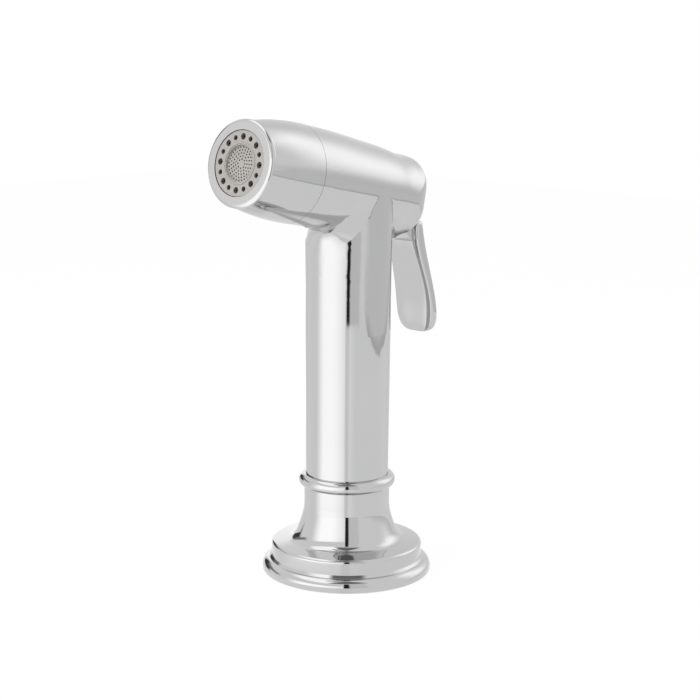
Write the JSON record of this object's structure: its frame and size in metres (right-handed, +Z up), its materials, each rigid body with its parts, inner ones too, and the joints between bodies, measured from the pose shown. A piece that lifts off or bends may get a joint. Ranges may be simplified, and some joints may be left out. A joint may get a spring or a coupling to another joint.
{
  "type": "pull-out kitchen faucet",
  "caption": "Pull-out rinse handset with a squeeze lever and a turning spray nose, standing in a round deck-mounted holder with a shank and clamp.",
  "frame": {"origin": "centre of the holder's underside, on the deck", "axes": "+Z up out of the deck along the handle's axis, -Y towards the nose, +Y towards the squeeze lever, +X across the handset, which is symmetric about X = 0"},
  "size_m": [0.0553, 0.0921, 0.2082],
  "materials": {
    "chrome": "polished chrome plating",
    "brass": "machined",
    "steel": "stainless, plain",
    "rubber": "moulded",
    "white_plastic": "moulded",
    "grey_plastic": "satin",
    "nozzle_rubber": "soft, moulded",
    "dark_plastic": "moulded"
  },
  "bodies": {
    "holder": {"holder_shell": "chrome", "deck_gasket": "rubber", "threaded_shank": "brass", "clamp_seal": "rubber", "clamp_washer": "steel", "lock_nut": "brass"},
    "swivel_bush": {"guide_bush": "white_plastic"},
    "handset": {"handset_body": "chrome", "inlet_nipple": "brass", "nipple_seal": "rubber", "inlet_filter": "white_plastic", "check_valve_body": "white_plastic", "check_valve_guide": "white_plastic", "check_valve_spring": "steel", "riser_tube": "white_plastic", "riser_seals": "rubber", "valve_body": "white_plastic", "valve_seat": "brass", "stem_seal": "rubber", "gland_nut": "brass", "valve_spring": "steel", "lever_bracket": "steel", "lever_pin": "steel", "port_disc": "white_plastic", "selector_seal": "rubber", "selector_clip": "steel"},
    "check_poppet": {"check_valve_poppet": "white_plastic"},
    "stem_and_disc": {"valve_stem": "steel", "valve_disc": "rubber", "disc_nut": "brass"},
    "lever": {"squeeze_lever": "chrome"},
    "nose": {"selector_core": "white_plastic", "nose_shell": "chrome", "face_ring": "chrome", "nozzle_plate": "grey_plastic", "nozzle_insert": "nozzle_rubber", "aerator_housing": "dark_plastic", "aerator_screen": "dark_plastic", "aerator_mixer": "white_plastic"}
  },
  "joints": [
    {"name": "handset_swivel", "type": "hinge", "parent": "holder", "child": "swivel_bush", "pos_m": [0, 0, 0], "axis": [0, 0, 1], "continuous": true},
    {"name": "handset_lift", "type": "slide", "parent": "swivel_bush", "child": "handset", "axis": [0, 0, 1], "range_m": [0, 0.15]},
    {"name": "lever_squeeze", "type": "hinge", "parent": "handset", "child": "lever", "pos_m": [0, 0.02085, 0.11415], "axis": [-1, 0, 0], "range_deg": [0, 12], "stiffness_Nm_per_rad": 0.8, "springref_deg": -11.46},
    {"name": "valve_stroke", "type": "slide", "parent": "handset", "child": "stem_and_disc", "axis": [0, 0.9778, -0.2096], "range_m": [0, 0.00164], "deforming": ["valve_spring"]},
    {"name": "check_valve_lift", "type": "slide", "parent": "handset", "child": "check_poppet", "axis": [0, 0, 1], "range_m": [0, 0.002], "stiffness_N_per_m": 100, "springref_m": -0.003, "deforming": ["check_valve_spring"]},
    {"name": "nose_turn", "type": "hinge", "parent": "handset", "child": "nose", "pos_m": [0, 0, 0.1266], "axis": [0, -0.9778, 0.2096], "range_deg": [0, 90]}
  ],
  "couplings": [
    {"joint": "valve_stroke", "follows": "lever_squeeze", "m_per_rad": 0.0078}
  ]
}
